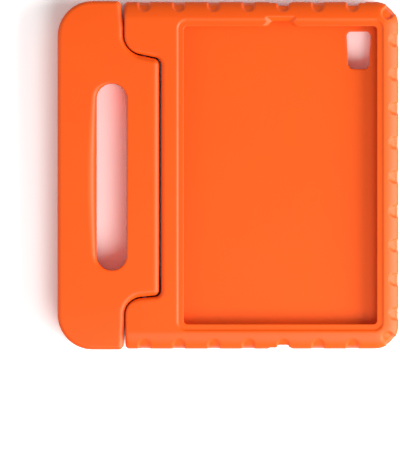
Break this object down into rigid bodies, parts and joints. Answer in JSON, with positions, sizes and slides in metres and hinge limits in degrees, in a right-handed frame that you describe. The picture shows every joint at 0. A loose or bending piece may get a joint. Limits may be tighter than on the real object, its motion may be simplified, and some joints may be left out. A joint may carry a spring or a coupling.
{
  "type": "kids tablet case",
  "caption": "Soft foam tablet case with a tablet bay, grooved rim, stylus channel and a wide carry handle that folds back on a hinge as a stand.",
  "frame": {"origin": "centre of the case's box in plan, at the height of the nub tips that it lies on", "axes": "+Z out of the screen, +X away from the handle, +Y towards the tablet's top edge"},
  "size_m": [0.2092, 0.214, 0.0226],
  "materials": {
    "foam": "matt moulded closed-cell foam",
    "rod_steel": "plated, smooth",
    "socket_plastic": "moulded, plain"
  },
  "bodies": {
    "shell": {"case_shell": "foam", "hinge_socket_top": "socket_plastic", "hinge_socket_bottom": "socket_plastic"},
    "handle": {"carry_handle": "foam", "hinge_rod": "rod_steel"}
  },
  "joints": [
    {"name": "handle_fold", "type": "hinge", "parent": "shell", "child": "handle", "pos_m": [-0.0514, 0, 0.01], "axis": [0, -1, 0], "range_deg": [0, 105]}
  ]
}
